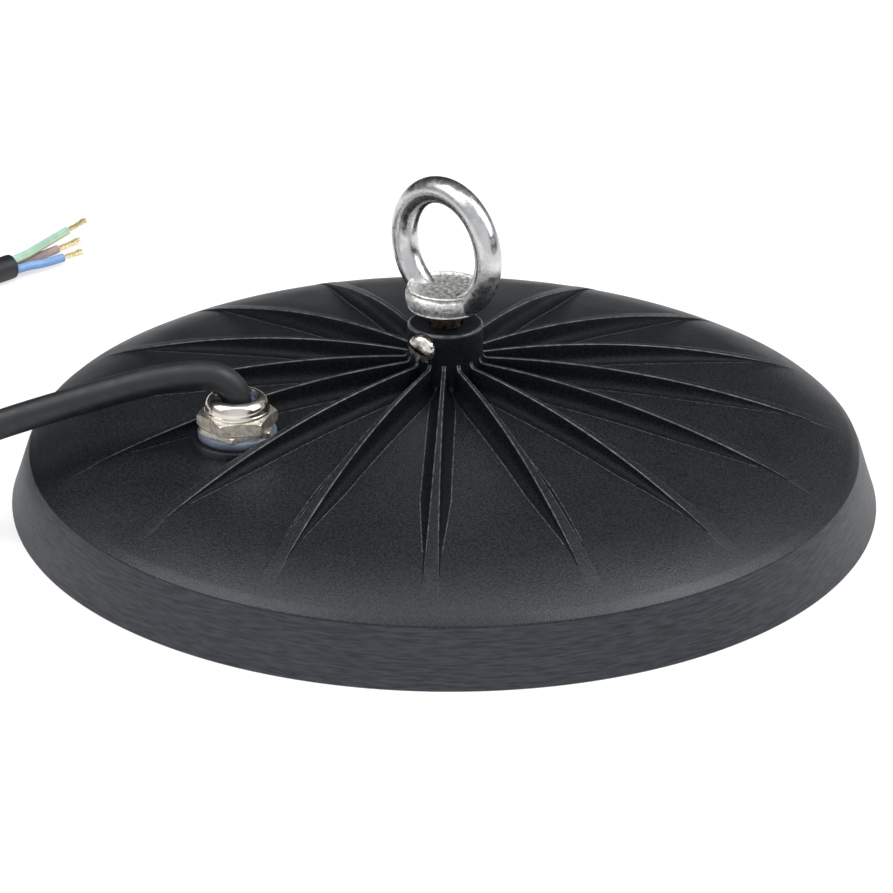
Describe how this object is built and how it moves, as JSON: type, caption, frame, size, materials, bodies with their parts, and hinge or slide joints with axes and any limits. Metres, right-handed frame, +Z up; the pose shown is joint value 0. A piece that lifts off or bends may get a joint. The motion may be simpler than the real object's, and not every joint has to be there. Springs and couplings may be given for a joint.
{
  "type": "high bay light",
  "caption": "Round flat high bay light: ribbed cast dome housing, eye bolt on top, side cable gland with coiled supply cable, LED board under a lens plate.",
  "frame": {"origin": "centre of the circle on which the rim's foot stands, in the plane of the rim's foot", "axes": "+Z up through the eye bolt; +X along the plane of the eye, with one of the ribs along +X; the cable gland lies towards -Y"},
  "size_m": [0.3161, 0.2467, 0.0825],
  "materials": {
    "powder_coated_aluminium": "satin black fine-texture powder coat on die-cast aluminium",
    "stainless_steel": "polished stainless steel",
    "bright_zinc": "bright nickel-plated steel",
    "sealing_rubber": "blue-grey sealing rubber",
    "nickel_brass": "nickel-plated brass",
    "cable_rubber": "matt black rubber jacket",
    "core_green_yellow": "green and yellow insulation",
    "core_brown": "brown insulation",
    "core_blue": "blue insulation",
    "copper_strands": "bare stranded copper",
    "tinned_copper": "tinned copper",
    "zinc_screws": "zinc-plated steel",
    "white_solder_mask": "white solder mask on an aluminium core",
    "led_phosphor": "yellow phosphor in a white frame",
    "white_plastic": "moulded white plastic",
    "component_epoxy": "dipped epoxy",
    "component_black": "moulded epoxy",
    "clear_polycarbonate": "clear moulded polycarbonate",
    "white_silicone": "white silicone"
  },
  "bodies": {
    "root": {"housing": "powder_coated_aluminium", "eye_bolt": "stainless_steel", "eye_lock_screw": "bright_zinc", "gland_washer": "sealing_rubber", "gland_body": "nickel_brass", "gland_cap_nut": "nickel_brass", "gland_seal": "sealing_rubber", "supply_cable": "cable_rubber", "supply_cable_coil": "cable_rubber", "supply_cable_end": "cable_rubber", "cable_tail": "cable_rubber", "core_green_yellow": "core_green_yellow", "core_brown": "core_brown", "core_blue": "core_blue", "core_strands": "copper_strands", "lead_brown": "core_brown", "lead_blue": "core_blue", "lead_earth": "core_green_yellow", "earth_lug": "tinned_copper", "earth_screw": "zinc_screws", "led_board": "white_solder_mask", "leds": "led_phosphor", "terminal_block": "white_plastic", "varistor": "component_epoxy", "fuse": "component_black", "bridge_rectifier": "component_black", "driver_chips": "component_black", "board_screws": "zinc_screws", "lens_plate": "clear_polycarbonate", "lens_gasket": "white_silicone", "lens_screws": "zinc_screws"}
  },
  "joints": []
}
